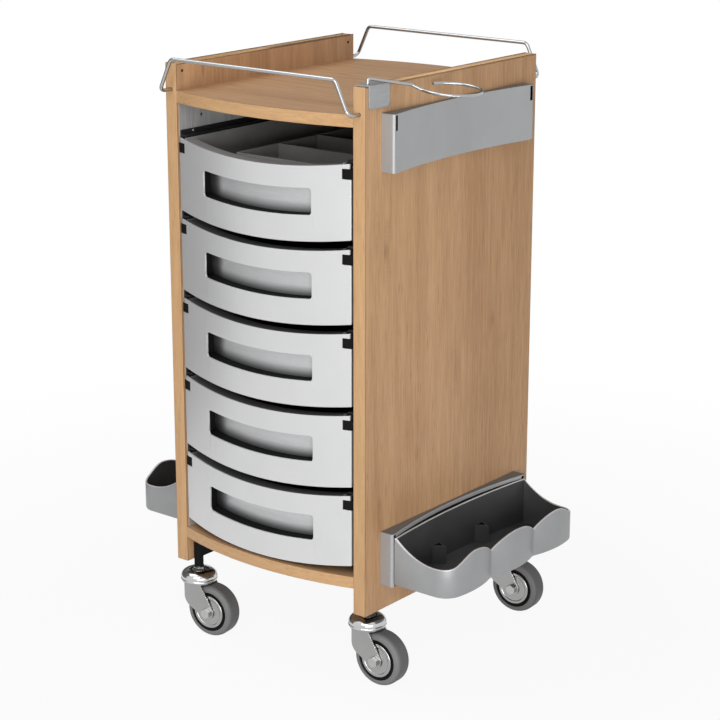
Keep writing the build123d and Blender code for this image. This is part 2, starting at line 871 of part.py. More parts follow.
def dryer_ring():
    """Bent wire from the clip to the free end of the hoop."""
    start = hoop_point(ring_start)
    middle = hoop_point(ring_start + ring_sweep / 2)
    end = hoop_point(ring_start + ring_sweep)
    hoop = ThreePointArc(start, middle, end)
    lead = start - (hoop % 0) * ring_lead
    stub_low = Vector(*stub_at, panel_top + clip_play)
    stub_high = Vector(*stub_at, clip_top + wire_stub_rise)
    knee = Vector(half_out + wire_knee_out, -half_depth + wire_knee_back, panel_top - wire_knee_drop)
    run = FilletPolyline(
        stub_low, stub_high, knee, lead, start, radius=[ring_wire_radius * k for k in (2, 3, 2.5)]
    )
    route = Wire(run.edges() + hoop.edges())
    section = Plane(origin=route @ 0, z_dir=route % 0) * Circle(ring_wire_radius)
    return sweep(section, path=route)


save("dryer_ring", dryer_ring())

# Caster rails: black bars under the bottom board beside the sides, with a stem socket at each end.
# Both rails are the same piece, turned end for end on the other side.
caster_x = half_in - caster_rail_width / 2
caster_ends = [caster_shift - caster_spacing / 2, caster_shift + caster_spacing / 2]
rail_low = floor_clearance + caster_rail_gap
stem_top = socket_low + stem_grip


def caster_rail():
    """Right-hand caster rail."""
    near, far = caster_ends
    bar = box_between(
        (half_in - caster_rail_width, near, rail_low), (half_in, far, bottom_board_z)
    )
    for y in caster_ends:
        bar += rod((caster_x, y, socket_low), (0, 0, 1), socket_radius, bottom_board_z - socket_low)
        depth = stem_top + hole_end_gap - socket_low
        bar -= rod((caster_x, y, socket_low), (0, 0, 1), stem_radius + snug, depth)
    return bar


save("caster_rails", caster_rail(), Rot(0, 0, 180) * caster_rail())

# Caster heads: the stem bolt holds the fork's bearing between its head and the washer and nut
plate_low = 2 * wheel_radius + fork_headroom
plate_top = plate_low + fork_sheet
bearing_top = plate_top + bearing_height
washer_low = bearing_top + axial_play
nut_low = washer_low + washer_thickness


def caster_stem():
    """Stem bolt with its washer and nut."""
    head_top = plate_low - axial_play
    bolt = rod((0, 0, head_top), (0, 0, 1), stem_radius, stem_top - head_top)
    bolt += rod((0, 0, head_top), (0, 0, -1), stem_head_radius, stem_head)
    bore = rod((0, 0, washer_low), (0, 0, 1), stem_radius + snug, washer_thickness + nut_height)
    washer = rod((0, 0, washer_low), (0, 0, 1), washer_radius, washer_thickness) - bore
    nut = hex_bar((0, 0, nut_low), (0, 0, 1), nut_radius, nut_height) - bore
    return [bolt, washer, nut]


# Casters are made with the swivel axis on Z and the wheel trailing towards +X, then turned and placed
leg_in = tyre_width / 2 + guard_sheet + 4 * guard_play
leg_out = leg_in + fork_sheet
axle_at = (caster_trail, 0, wheel_radius)


def caster_fork():
    """Pressed fork: a crown with the swivel bearing on it and two cheeked legs that narrow to the axle."""
    fork = rod((0, 0, plate_low), (0, 0, 1), crown_radius, fork_sheet)
    fork += rod((0, 0, plate_low), (0, 0, 1), bearing_radius, bearing_top - plate_low)
    fork -= rod((0, 0, plate_low), (0, 0, 1), stem_radius + snug, bearing_top - plate_low)
    plane = Plane(origin=(0, leg_out, 0), x_dir=(1, 0, 0), z_dir=(0, -1, 0))
    boss = Pos(caster_trail, wheel_radius) * Circle(fork_boss)
    cheek = Pos(fork_cheek - fork_half, wheel_radius + fork_cheek_rise) * Circle(fork_cheek)
    head = Line((-fork_half, plate_top), (fork_half, plate_top))
    outline = make_hull(boss.edges() + cheek.edges() + head.edges())
    leg = extrude(plane * outline, amount=fork_sheet)
    fork += [leg, mirror(leg, about=Plane.XZ)]
    return fork - rod((caster_trail, -leg_out, wheel_radius), (0, 1, 0), axle_radius + snug, 2 * leg_out)


def caster_dome():
    """Spun cap over the swivel bearing, standing on the crown and open round the stem."""

    def profile(inset):
        foot = (dome_foot - inset, 0, plate_top)
        waist = (dome_radius - inset, 0, plate_top + dome_waist)
        top = plate_top + dome_height - inset
        crest_x = (dome_radius + dome_mouth) / 2 - inset / 2
        crest = (crest_x + dome_waist, 0, top - (dome_height - dome_waist) / 4)
        return Line(foot, waist), ThreePointArc(waist, crest, (dome_mouth, 0, top))

    skirt, cap = profile(0)
    inner_skirt, inner_cap = profile(dome_sheet)
    rims = [Line(cap @ 1, inner_cap @ 1), Line(inner_skirt @ 0, skirt @ 0)]
    return revolve(Face(Wire([skirt, cap, inner_skirt, inner_cap] + rims)), axis=Axis.Z)


def wheel_ring(points):
    """Body of revolution about the axle, from radius and side offset pairs."""
    corners = [(caster_trail + r, y, wheel_radius) for r, y in points]
    edges = [Line(a, b) for a, b in zip(corners, corners[1:] + corners[:1])]
    return revolve(Face(Wire(edges)), axis=Axis(axle_at, (0, 1, 0)))


def caster_axle():
    """Axle bolt and nut, with a dished thread guard inside each leg."""
    tip = leg_out + bolt_head + axle_stub
    bolt = rod((caster_trail, -leg_out, wheel_radius), (0, 1, 0), axle_radius, leg_out + tip)
    bolt += hex_bar((caster_trail, -leg_out, wheel_radius), (0, -1, 0), bolt_head_radius, bolt_head)
    nut = hex_bar((caster_trail, leg_out, wheel_radius), (0, 1, 0), bolt_head_radius, bolt_head)
    nut -= rod((caster_trail, leg_out, wheel_radius), (0, 1, 0), axle_radius + snug, bolt_head)
    face = tyre_width / 2 + guard_play
    edge = face - rim_recess
    guard_radius = rim_radius - rim_ring
    bead_top = edge + guard_sheet + guard_bead_rise
    bead_in = guard_radius - guard_bead_rise - guard_bead
    guard = wheel_ring(
        [
            (axle_radius + snug, face),
            (hub_radius + guard_play, face),
            (guard_radius, edge),
            (guard_radius, edge + guard_sheet),
            (guard_radius - guard_bead_rise, bead_top),
            (bead_in, bead_top),
            (bead_in - guard_bead_rise, edge + guard_sheet),
            (hub_radius + guard_play, face + guard_sheet),
            (axle_radius + snug, face + guard_sheet),
        ]
    )
    return [bolt, nut, guard, mirror(guard, about=Plane.XZ)]


def wheel_rim():
    """Moulded wheel centre: hub, web and the ring that carries the tyre."""
    hub = tyre_width / 2
    ring = hub - rim_recess
    web = rim_web / 2
    bore = axle_radius + snug
    ring_in = rim_radius - rim_ring
    near = [(bore, hub), (hub_radius, hub), (hub_radius, web), (ring_in, web), (ring_in, ring), (rim_radius, ring)]
    return wheel_ring(near + [(r, -y) for r, y in reversed(near)])


def wheel_tyre():
    """Rubber tyre with rounded shoulders."""
    side = tyre_width / 2
    tyre = wheel_ring([(rim_radius, side), (wheel_radius, side), (wheel_radius, -side), (rim_radius, -side)])
    shoulders = [e for e in tyre.edges().filter_by(GeomType.CIRCLE) if e.radius > rim_radius + tyre_shoulder]
    return fillet(shoulders, tyre_shoulder)


caster_pieces = {
    "caster_fork": [caster_fork()],
    "caster_dome": [caster_dome()],
    "caster_axle": caster_axle(),
    "wheel_rim": [wheel_rim()],
    "wheel_tyre": [wheel_tyre()],
}
stems = []
for corner, yaw in caster_yaws.items():
    side = 1 if corner.endswith("right") else -1
    end = max(caster_ends) if corner in ("rear_right", "front_left") else -min(caster_ends)
    x = side * caster_x
    y = end if corner.startswith("rear") else -end
    place = Pos(x, y, 0)
    stems += [place * piece for piece in caster_stem()]
    for name, pieces in caster_pieces.items():
        save(f"{name}_{corner}", *[place * Rot(0, 0, yaw) * piece for piece in pieces])
save("caster_stems", *stems)
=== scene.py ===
import json
import math
import bmesh
import bpy
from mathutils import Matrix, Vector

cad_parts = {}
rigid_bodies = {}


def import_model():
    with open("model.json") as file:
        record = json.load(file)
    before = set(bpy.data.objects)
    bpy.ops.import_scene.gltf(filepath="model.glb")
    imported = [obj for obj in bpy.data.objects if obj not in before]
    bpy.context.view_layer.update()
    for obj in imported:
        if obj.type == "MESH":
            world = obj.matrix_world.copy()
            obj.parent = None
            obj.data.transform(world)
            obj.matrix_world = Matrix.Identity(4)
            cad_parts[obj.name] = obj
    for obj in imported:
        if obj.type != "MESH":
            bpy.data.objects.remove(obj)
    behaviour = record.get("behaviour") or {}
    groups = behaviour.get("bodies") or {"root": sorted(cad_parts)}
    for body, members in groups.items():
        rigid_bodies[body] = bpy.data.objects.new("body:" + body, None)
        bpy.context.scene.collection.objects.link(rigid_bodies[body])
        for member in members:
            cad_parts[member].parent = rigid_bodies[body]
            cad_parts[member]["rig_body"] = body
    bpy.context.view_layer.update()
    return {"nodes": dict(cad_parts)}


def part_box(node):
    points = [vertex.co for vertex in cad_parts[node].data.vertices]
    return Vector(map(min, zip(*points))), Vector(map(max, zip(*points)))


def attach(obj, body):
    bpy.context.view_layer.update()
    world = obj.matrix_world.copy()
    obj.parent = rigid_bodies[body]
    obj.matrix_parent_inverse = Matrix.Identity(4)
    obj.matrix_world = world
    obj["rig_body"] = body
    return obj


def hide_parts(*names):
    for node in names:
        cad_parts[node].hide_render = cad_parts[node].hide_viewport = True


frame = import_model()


# Side panels: two upright boards that carry everything else. 19 mm particle board faced with
# oak-print laminate, grain upright, drilled for rails, runners, boards and holders.
def put(tree, kind, settings=None, **sockets):
    """Add a node; the keywords fill its sockets, with _ for a space."""
    made = tree.nodes.new("ShaderNode" + kind)
    for name, value in (settings or {}).items():
        setattr(made, name, value)
    for name, value in sockets.items():
        made.inputs[name.replace("_", " ")].default_value = value
    return made


def feed(tree, value, target, socket):
    """Run a node's output to another node's input."""
    tree.links.new(value, target.inputs[socket])


def reckon(tree, operation, first, second=None):
    """Math node on node outputs or plain numbers."""
    made = put(tree, "Math", {"operation": operation})
    for place, value in enumerate((first, second)):
        if isinstance(value, (int, float)):
            made.inputs[place].default_value = value
        elif value is not None:
            feed(tree, value, made, place)
    return made.outputs[0]


def weighed(tree, *shares):
    """Sum of node outputs, each times its weight."""
    total = None
    for value, weight in shares:
        part = reckon(tree, "MULTIPLY", value, weight)
        total = part if total is None else reckon(tree, "ADD", total, part)
    return total


def blend(tree, amount, first, second):
    """Mix two colours, each a node output or a plain colour, by a node output."""
    made = put(tree, "Mix", {"data_type": "RGBA"})
    factor, colour_a, colour_b, mixed = 0, 6, 7, 2
    feed(tree, amount, made, factor)
    for place, value in ((colour_a, first), (colour_b, second)):
        if isinstance(value, tuple):
            made.inputs[place].default_value = (*value, 1)
        else:
            feed(tree, value, made, place)
    return made.outputs[mixed]


def spread(tree, value, low, high, new_low=0.0, new_high=1.0):
    """Stretch a value from one range to another, kept inside the new one."""
    made = put(tree, "MapRange", From_Min=low, From_Max=high, To_Min=new_low, To_Max=new_high)
    feed(tree, value, made, "Value")
    return made.outputs[0]


def new_finish(name, **sockets):
    """New material: its node tree and its Principled shader with constant sockets set."""
    made = bpy.data.materials.new(name)
    made.use_nodes = True
    shader = made.node_tree.nodes["Principled BSDF"]
    for socket, value in sockets.items():
        shader.inputs[socket.replace("_", " ")].default_value = value
    return made, made.node_tree, shader


def new_group(name, inputs, outputs):
    """New shader node group with named sockets; returns it with its two end nodes."""
    made = bpy.data.node_groups.new(name, "ShaderNodeTree")
    for label, kind in inputs.items():
        made.interface.new_socket(label, in_out="INPUT", socket_type="NodeSocket" + kind)
    for label in outputs:
        made.interface.new_socket(label, in_out="OUTPUT", socket_type="NodeSocketFloat")
    return made, made.nodes.new("NodeGroupInput"), made.nodes.new("NodeGroupOutput")


def place_group(tree, group, **sockets):
    """Put a node group into a material."""
    return put(tree, "Group", {"node_tree": group}, **sockets)


def set_bump(tree, shader, height, strength, distance):
    """Bump from a height to the shader's normal."""
    made = put(tree, "Bump", Strength=strength, Distance=distance)
    feed(tree, height, made, "Height")
    feed(tree, made.outputs["Normal"], shader, "Normal")


def noise(tree, vector, scale, detail=2.0, roughness=0.5, distortion=0.0):
    """Noise value at a vector."""
    made = put(tree, "TexNoise", Scale=scale, Detail=detail, Roughness=roughness, Distortion=distortion)
    feed(tree, vector, made, "Vector")
    return made.outputs[0]


def stretched(tree, factors):
    """Object position with each axis scaled."""
    made = put(tree, "VectorMath", {"operation": "MULTIPLY"})
    feed(tree, put(tree, "TexCoord").outputs["Object"], made, 0)
    made.inputs[1].default_value = factors
    return made.outputs[0]


def axes(tree, kind):
    """X, Y and Z of the place on the piece ("Object") or of the way its surface faces ("Normal")."""
    made = put(tree, "SeparateXYZ")
    feed(tree, put(tree, "TexCoord").outputs[kind], made, 0)
    return made.outputs


oak_figure, figure_in, figure_out = new_group(
    "oak figure", {"Grain": "Vector", "Flow": "Vector"}, ("Figure", "Pores", "Height")
)
grain_line = figure_in.outputs["Grain"]
broad = noise(oak_figure, figure_in.outputs["Flow"], 9.0, detail=1.0, roughness=0.4, distortion=0.3)
bands = noise(oak_figure, grain_line, 26.0, distortion=0.2)
streaks = noise(oak_figure, grain_line, 100.0, detail=3.0, roughness=0.6, distortion=0.3)
threads = noise(oak_figure, grain_line, 420.0, detail=3.0, roughness=0.65)
ticks = noise(oak_figure, grain_line, 900.0, detail=1.0, roughness=0.4)
rings = reckon(oak_figure, "PINGPONG", reckon(oak_figure, "MULTIPLY", broad, 22.0), 0.5)
figure_sum = weighed(oak_figure, (broad, 0.3), (rings, 0.18), (bands, 0.6), (streaks, 0.25), (threads, 0.8))
between_streaks = spread(oak_figure, streaks, 0.42, 0.6, 1.0, 0.15)
pores = reckon(oak_figure, "MULTIPLY", spread(oak_figure, ticks, 0.6, 0.72), between_streaks)
relief = reckon(oak_figure, "SUBTRACT", reckon(oak_figure, "MULTIPLY", threads, 0.4), pores)
feed(oak_figure, spread(oak_figure, figure_sum, 0.68, 1.39), figure_out, "Figure")
feed(oak_figure, pores, figure_out, "Pores")
feed(oak_figure, relief, figure_out, "Height")

oak_knots, knots_in, knots_out = new_group("oak knots", {"Place": "Vector"}, ("Dark",))
knot_cells = put(oak_knots, "TexVoronoi", Scale=20.0)
feed(oak_knots, knots_in.outputs["Place"], knot_cells, "Vector")
knot_reach = knot_cells.outputs["Distance"]
knot_heart = spread(oak_knots, knot_reach, 0.03, 0.1, 1.0, 0.0)
knot_rings = reckon(oak_knots, "PINGPONG", reckon(oak_knots, "MULTIPLY", knot_reach, 28.0), 0.5)
knot_fade = spread(oak_knots, knot_reach, 0.06, 0.32, 1.0, 0.0)
knot_rings = reckon(oak_knots, "MULTIPLY", knot_rings, knot_fade)
feed(oak_knots, reckon(oak_knots, "MAXIMUM", knot_heart, knot_rings), knots_out, "Dark")

laminate_dark = (0.39, 0.205, 0.098)
laminate_light = (0.68, 0.42, 0.228)
laminate_pore = (0.25, 0.12, 0.052)
pore_share = 0.55
knot_share = 0.5
knot_stretch = 0.3
core_dark = (0.05, 0.03, 0.016)
core_light = (0.13, 0.085, 0.05)


def oak_finish(name, factors, flow, through):
    """Satin oak print, grain along the axis with the small factor; bare core shows off the through axis."""
    made, tree, shader = new_finish(name, Specular_IOR_Level=0.35)
    oak = place_group(tree, oak_figure)
    feed(tree, stretched(tree, factors), oak, "Grain")
    feed(tree, stretched(tree, flow), oak, "Flow")
    tone = blend(tree, oak.outputs["Figure"], laminate_dark, laminate_light)
    tone = blend(tree, reckon(tree, "MULTIPLY", oak.outputs["Pores"], pore_share), tone, laminate_pore)
    knots = place_group(tree, oak_knots)
    feed(tree, stretched(tree, [knot_stretch if share < 1 else 1 for share in factors]), knots, "Place")
    tone = blend(tree, reckon(tree, "MULTIPLY", knots.outputs["Dark"], knot_share), tone, laminate_pore)
    facing = reckon(tree, "ABSOLUTE", axes(tree, "Normal")[through])
    bare = reckon(tree, "LESS_THAN", facing, 0.5)
    chips = blend(tree, noise(tree, stretched(tree, (1, 1, 1)), 600.0), core_dark, core_light)
    feed(tree, blend(tree, bare, tone, chips), shader, "Base Color")
    feed(tree, spread(tree, oak.outputs["Figure"], 0.0, 1.0, 0.5, 0.4), shader, "Roughness")
    set_bump(tree, shader, oak.outputs["Height"], strength=0.12, distance=0.0004)
    return made


def cover(made, *nodes):
    """Give CAD pieces their finish."""
    for name in nodes:
        for place in frame["nodes"][name].material_slots:
            place.material = made


upright_grain = (1, 1, 0.038)
upright_flow = (1, 1, 0.08)
upright_oak = oak_finish("upright oak laminate", upright_grain, upright_flow, through=0)
cover(upright_oak, "side_panel_left", "side_panel_right")

# Top and bottom boards: 16 mm laminated boards with bowed ends, dowelled between the sides.
# The print's grain runs from side to side.
level_grain = (0.038, 1, 1)
level_flow = (0.08, 1, 1)
level_oak = oak_finish("level oak laminate", level_grain, level_flow, through=2)
cover(level_oak, "top_board", "bottom_board")

# Dowels: plain beech pins glued into the boards' ends and the sides, out of sight once the
# carcass is closed. Cut from straight-grained rod.
beech_dark = (0.5, 0.3, 0.15)
beech_light = (0.66, 0.45, 0.26)
beech, beech_tree, beech_shader = new_finish("beech", Roughness=0.7)
beech_figure = place_group(beech_tree, oak_figure)
for grain_input in ("Grain", "Flow"):
    feed(beech_tree, stretched(beech_tree, level_flow), beech_figure, grain_input)
beech_tone = blend(beech_tree, beech_figure.outputs["Figure"], beech_dark, beech_light)
feed(beech_tree, beech_tone, beech_shader, "Base Color")
cover(beech, "dowels")


# Edge bands: 1 mm oak strips glued round the panels' and boards' edges, their corners eased by
# hand. Grain runs along each strip: upright on the panels, sideways on the bowed board edges.
def stands_for(piece, node):
    """A made piece takes a CAD piece's place and movement, and the CAD piece is hidden."""
    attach(piece, frame["nodes"][node]["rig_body"])
    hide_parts(node)


def piece_of(form, name, *finishes):
    """Set a finished form into the scene as a piece."""
    skin = bpy.data.meshes.new(name)
    form.to_mesh(skin)
    form.free()
    for made in finishes:
        skin.materials.append(made)
    piece = bpy.data.objects.new(name, skin)
    bpy.context.scene.collection.objects.link(piece)
    return piece


weld_gap = 2e-6
sharp_turn = math.radians(35)


def eased(node, made, second=None, takes_second=None, *, edge, flat=0.01):
    """A CAD piece as one skin with its sharp edges rounded over; some faces may take a second finish.

    Faces that lie within flat degrees of each other count as one face.
    """
    form = bmesh.new()
    form.from_mesh(frame["nodes"][node].data)
    bmesh.ops.remove_doubles(form, verts=form.verts, dist=weld_gap)
    bmesh.ops.dissolve_limit(form, angle_limit=math.radians(flat), verts=form.verts, edges=form.edges)
    for face in form.faces:
        face.smooth = True
        face.material_index = 1 if second and takes_second(face.calc_center_median()) else 0
    finishes = (made, second) if second else (made,)
    piece = piece_of(form, node + "_finished", *finishes)
    rounding = piece.modifiers.new("eased edges", "BEVEL")
    rounding.width = edge
    rounding.segments = 2
    rounding.limit_method = "ANGLE"
    rounding.angle_limit = sharp_turn
    rounding.use_clamp_overlap = False
    evening = piece.modifiers.new("even shading", "WEIGHTED_NORMAL")
    evening.keep_sharp = True
    stands_for(piece, node)


def either(tree, amount, first, second):
    """One of two vectors, by a mask."""
    made = put(tree, "Mix", {"data_type": "VECTOR"})
    factor, vector_a, vector_b, mixed = 0, 4, 5, 1
    for place, value in ((factor, amount), (vector_a, first), (vector_b, second)):
        feed(tree, value, made, place)
    return made.outputs[mixed]


panel_inside = 0.1495
square_on = 0.7
band_dark = (0.47, 0.265, 0.12)
band_light = (0.685, 0.43, 0.223)
band_pore = (0.3, 0.16, 0.07)
band_pore_share = 0.4
band_draw = 0.05
band_oak, band_tree, band_shader = new_finish("oak edge band", Specular_IOR_Level=0.4)
band_aside = reckon(band_tree, "ABSOLUTE", axes(band_tree, "Object")[0])
band_upward = reckon(band_tree, "ABSOLUTE", axes(band_tree, "Normal")[2])
on_panel = reckon(band_tree, "GREATER_THAN", band_aside, panel_inside)
on_top = reckon(band_tree, "GREATER_THAN", band_upward, square_on)
grain_across = stretched(band_tree, (band_draw, 1, 1))
grain_back = stretched(band_tree, (1, band_draw, 1))
grain_up = stretched(band_tree, (1, 1, band_draw))
band_grain = either(band_tree, on_panel, grain_across, either(band_tree, on_top, grain_up, grain_back))
band_figure = place_group(band_tree, oak_figure)
for grain_input in ("Grain", "Flow"):
    feed(band_tree, band_grain, band_figure, grain_input)
band_tone = blend(band_tree, band_figure.outputs["Figure"], band_dark, band_light)
band_pores = reckon(band_tree, "MULTIPLY", band_figure.outputs["Pores"], band_pore_share)
feed(band_tree, blend(band_tree, band_pores, band_tone, band_pore), band_shader, "Base Color")
band_rough = spread(band_tree, band_figure.outputs["Figure"], 0.0, 1.0, 0.46, 0.36)
feed(band_tree, band_rough, band_shader, "Roughness")
set_bump(band_tree, band_shader, band_figure.outputs["Height"], strength=0.1, distance=0.0003)
eased("edge_bands", band_oak, edge=0.0007)

# Back panel: a thin fibreboard sheet with the sides' oak print on both faces. It is sprung into
# the curved grooves of the two boards.
cover(oak_finish("back sheet oak", upright_grain, upright_flow, through=1), "back_panel")

# Liners: thin grey sheets glued to the inner faces of the sides, with a finish brushed from top to
# bottom. They are drilled for the screws of the runners and the holders.
brushed, brushed_in, brushed_out = new_group("brushed streaks", {"Grain": "Vector"}, ("Streak", "Cloud"))
brushed_line = brushed_in.outputs["Grain"]
fine_streaks = noise(brushed, brushed_line, 900.0, detail=3.0, roughness=0.6)
broad_streaks = noise(brushed, brushed_line, 130.0)
brushed_sum = weighed(brushed, (fine_streaks, 0.6), (broad_streaks, 0.4))
feed(brushed, spread(brushed, brushed_sum, 0.35, 0.65), brushed_out, "Streak")
feed(brushed, noise(brushed, brushed_line, 14.0), brushed_out, "Cloud")
# Black toward which painted shade darkens a coat.
painted_shade_black = (0.01, 0.01, 0.01)


def satin_finish(name, factors, dark, light, metal, rough_low, rough_high, bump, lit_share_of=None):
    """Satin metal or metal-like coat with streaks along the axis that has the small factor.

    The last argument gives a mask of how much of the coat's tone is kept; below 1 the tone is painted
    toward black as shade, and without it no shade is painted.
    """
    made, tree, shader = new_finish(name, Metallic=metal, Specular_IOR_Level=0.5)
    coat = place_group(tree, brushed)
    feed(tree, stretched(tree, factors), coat, "Grain")
    streak = coat.outputs["Streak"]
    tone = blend(tree, weighed(tree, (streak, 0.6), (coat.outputs["Cloud"], 0.4)), dark, light)
    # Painted shade: the tone darkens toward black where the mask falls below 1.
    if lit_share_of:
        tone = blend(tree, lit_share_of(tree), painted_shade_black, tone)
    feed(tree, tone, shader, "Base Color")
    feed(tree, spread(tree, streak, 0.0, 1.0, rough_high, rough_low), shader, "Roughness")
    set_bump(tree, shader, streak, bump, distance=0.0002)
    return made


grey_liner = satin_finish(
    "grey liner sheet", factors=(1, 1, 0.02), dark=(0.25, 0.255, 0.26), light=(0.62, 0.625, 0.63),
    metal=0.2, rough_low=0.38, rough_high=0.5, bump=0.1,
)
cover(grey_liner, "liner_left", "liner_right")

# Runners: black extruded channels, five to a side, each held by two zinc-plated pan-head screws
# driven through the liner into the side.
grained, grained_in, grained_out = new_group("moulded grain", {"Size": "Float"}, ("Grain", "Cloud"))
mould_place = put(grained, "TexCoord").outputs["Object"]
mould_grain = put(grained, "TexNoise", Detail=2.0, Roughness=0.55)
feed(grained, mould_place, mould_grain, "Vector")
feed(grained, grained_in.outputs["Size"], mould_grain, "Scale")
feed(grained, mould_grain.outputs[0], grained_out, "Grain")
feed(grained, noise(grained, mould_place, 22.0, detail=3.0), grained_out, "Cloud")


def moulded_finish(name, dark, light, rough_low, rough_high, size=1600.0, bump=0.12, metal=0.0, shine=0.5):
    """Fine-grained moulded plastic, plating or rubber."""
    made, tree, shader = new_finish(name, Metallic=metal, Specular_IOR_Level=shine)
    mould = place_group(tree, grained, Size=size)
    grain, cloud = mould.outputs["Grain"], mould.outputs["Cloud"]
    mottle = spread(tree, weighed(tree, (grain, 0.5), (cloud, 0.5)), 0.35, 0.65)
    feed(tree, blend(tree, mottle, dark, light), shader, "Base Color")
    feed(tree, spread(tree, cloud, 0.3, 0.7, rough_low, rough_high), shader, "Roughness")
    set_bump(tree, shader, grain, bump, distance=0.00015)
    return made


black_plastic = moulded_finish(
    "black channel plastic", dark=(0.010, 0.010, 0.011), light=(0.022, 0.022, 0.023),
    rough_low=0.35, rough_high=0.5, shine=0.25,
)
cover(black_plastic, "runners_left", "runners_right")
zinc_plate = satin_finish(
    "bright zinc plate", factors=(1, 1, 1), dark=(0.37, 0.37, 0.366), light=(0.47, 0.47, 0.466),
    metal=0.95, rough_low=0.2, rough_high=0.32, bump=0.05,
)
cover(zinc_plate, "runner_screws")

# Gallery rails: 5 mm steel wire, bent cold and chromed, one at each end of the worktop. Their
# turned-in ends are pushed into holes in the panels' edges.
chrome_dark = (0.37, 0.375, 0.38)
chrome_light = (0.47, 0.47, 0.47)
bright_chrome, chrome_tree, chrome_shader = new_finish("bright chrome", Metallic=1.0)
chrome_skin = place_group(chrome_tree, grained, Size=300.0)
chrome_tone = blend(chrome_tree, chrome_skin.outputs["Cloud"], chrome_dark, chrome_light)
feed(chrome_tree, chrome_tone, chrome_shader, "Base Color")
chrome_rough = spread(chrome_tree, chrome_skin.outputs["Grain"], 0.3, 0.7, 0.10, 0.2)
feed(chrome_tree, chrome_rough, chrome_shader, "Roughness")
cover(bright_chrome, "gallery_rail_front", "gallery_rail_rear")

# Drawer fronts: sheets bent to the boards' curve with sagging edges, a grip opening and notched
# top corners, sprayed with a satin silver coat. They clip to the trays' lugs.
drawers = (1, 2, 3, 4, 5)
silver_dark = (0.65, 0.655, 0.66)
silver_light = (0.71, 0.71, 0.715)
silver_coat, silver_tree, silver_shader = new_finish(
    "satin silver coat", Metallic=0.6, Specular_IOR_Level=0.5
)
silver_skin = place_group(silver_tree, grained, Size=2600.0)
silver_tone = blend(silver_tree, silver_skin.outputs["Cloud"], silver_dark, silver_light)
feed(silver_tree, silver_tone, silver_shader, "Base Color")
silver_rough = spread(silver_tree, silver_skin.outputs["Grain"], 0.3, 0.7, 0.34, 0.42)
feed(silver_tree, silver_rough, silver_shader, "Roughness")
set_bump(silver_tree, silver_shader, silver_skin.outputs["Grain"], strength=0.05, distance=0.0001)
for number in drawers:
    eased(f"drawer_front_{number}", silver_coat, edge=0.0004)

# Drawer trays: moulded troughs of one plastic, painted lighter in the top drawer as light and darker below
# as shade.
# The grip pocket in front, the side flanges, the wings behind the front's ends and their clip lugs are
# black.
bow_centre_y = 0.29063
tray_front_r = 0.4797
tray_half = 0.1367
drawer_pitch = 0.11
lowest_drawer = 0.175
lug_inside = 0.133
lug_low = 0.0765
lug_high = 0.0915
pocket_high = 0.075


def in_pocket(place):
    """True on the black parts: in the pocket in front of the tray's wall, and outside its sides."""
    height = (place.z - lowest_drawer) % drawer_pitch
    ahead = math.hypot(place.x, place.y - bow_centre_y) > tray_front_r
    on_lug = abs(place.x) > lug_inside and lug_low < height < lug_high
    return abs(place.x) > tray_half or (ahead and (on_lug or height < pocket_high))


tray_plastic_painted_shade = moulded_finish(
    "tray plastic, painted shade", dark=(0.07, 0.07, 0.071), light=(0.10, 0.10, 0.101),
    rough_low=0.5, rough_high=0.65, shine=0.3,
)
tray_plastic_painted_light = moulded_finish(
    "tray plastic, painted light", dark=(0.24, 0.24, 0.242), light=(0.30, 0.30, 0.302),
    rough_low=0.5, rough_high=0.65, shine=0.3,
)
pocket_black = moulded_finish(
    "black pocket plastic", dark=(0.004, 0.004, 0.004), light=(0.010, 0.010, 0.010),
    rough_low=0.6, rough_high=0.75, shine=0.08,
)
# Painted light and shade: the top tray takes the lightened copy of the plastic, the lower trays the
# darkened one.
for number in drawers:
    trough_plastic = tray_plastic_painted_light if number == 1 else tray_plastic_painted_shade
    eased(f"drawer_tray_{number}", trough_plastic, pocket_black, in_pocket, edge=0.0004)

# Grip plates: thin sheets bent to the front's curve, lining the back of the pockets behind the grip
# openings. Their silver is painted darker toward black at the lower edge and the ends as the pocket's
# shade.
plate_half = 0.0985
plate_low = 0.023
plate_sag = 0.537
shade_rise = 0.014
shade_reach = 0.026
lit_share_at_edge = 0.3
lit_share_at_end = 0.45


def pocket_shade_share(tree):
    """How much of a grip plate's silver is kept, the rest painted toward black as the pocket's shade, from
    its lower edge up and from its ends in.
    """
    across, _, up = axes(tree, "Object")
    aside = reckon(tree, "ABSOLUTE", across)
    level = reckon(tree, "MODULO", reckon(tree, "SUBTRACT", up, lowest_drawer), drawer_pitch)
    sag = reckon(tree, "MULTIPLY", reckon(tree, "MULTIPLY", aside, aside), plate_sag)
    over_edge = reckon(tree, "SUBTRACT", level, reckon(tree, "ADD", sag, plate_low))
    from_end = reckon(tree, "SUBTRACT", plate_half, aside)
    upward = spread(tree, over_edge, 0.0, shade_rise, lit_share_at_edge, 1.0)
    inward = spread(tree, from_end, 0.0, shade_reach, lit_share_at_end, 1.0)
    return reckon(tree, "MULTIPLY", upward, inward)


# Grip plate silver, painted toward black at its lower edge and ends as the pocket's shade.
grip_metal = satin_finish(
    "grip plate, painted pocket shade", factors=(0.05, 1, 1), dark=(0.57, 0.575, 0.58), light=(0.66, 0.665, 0.67),
    metal=1.0, rough_low=0.43, rough_high=0.51, bump=0.01, lit_share_of=pocket_shade_share,
)
for number in drawers:
    cover(grip_metal, f"grip_plate_{number}")

# Divider: a loose moulded insert of the top tray's plastic, in the grey copy lightened as painted light,
# one long wall and three cross walls, that parts the top drawer into one long bay and three short ones.
eased("drawer_divider", tray_plastic_painted_light, edge=0.0005)

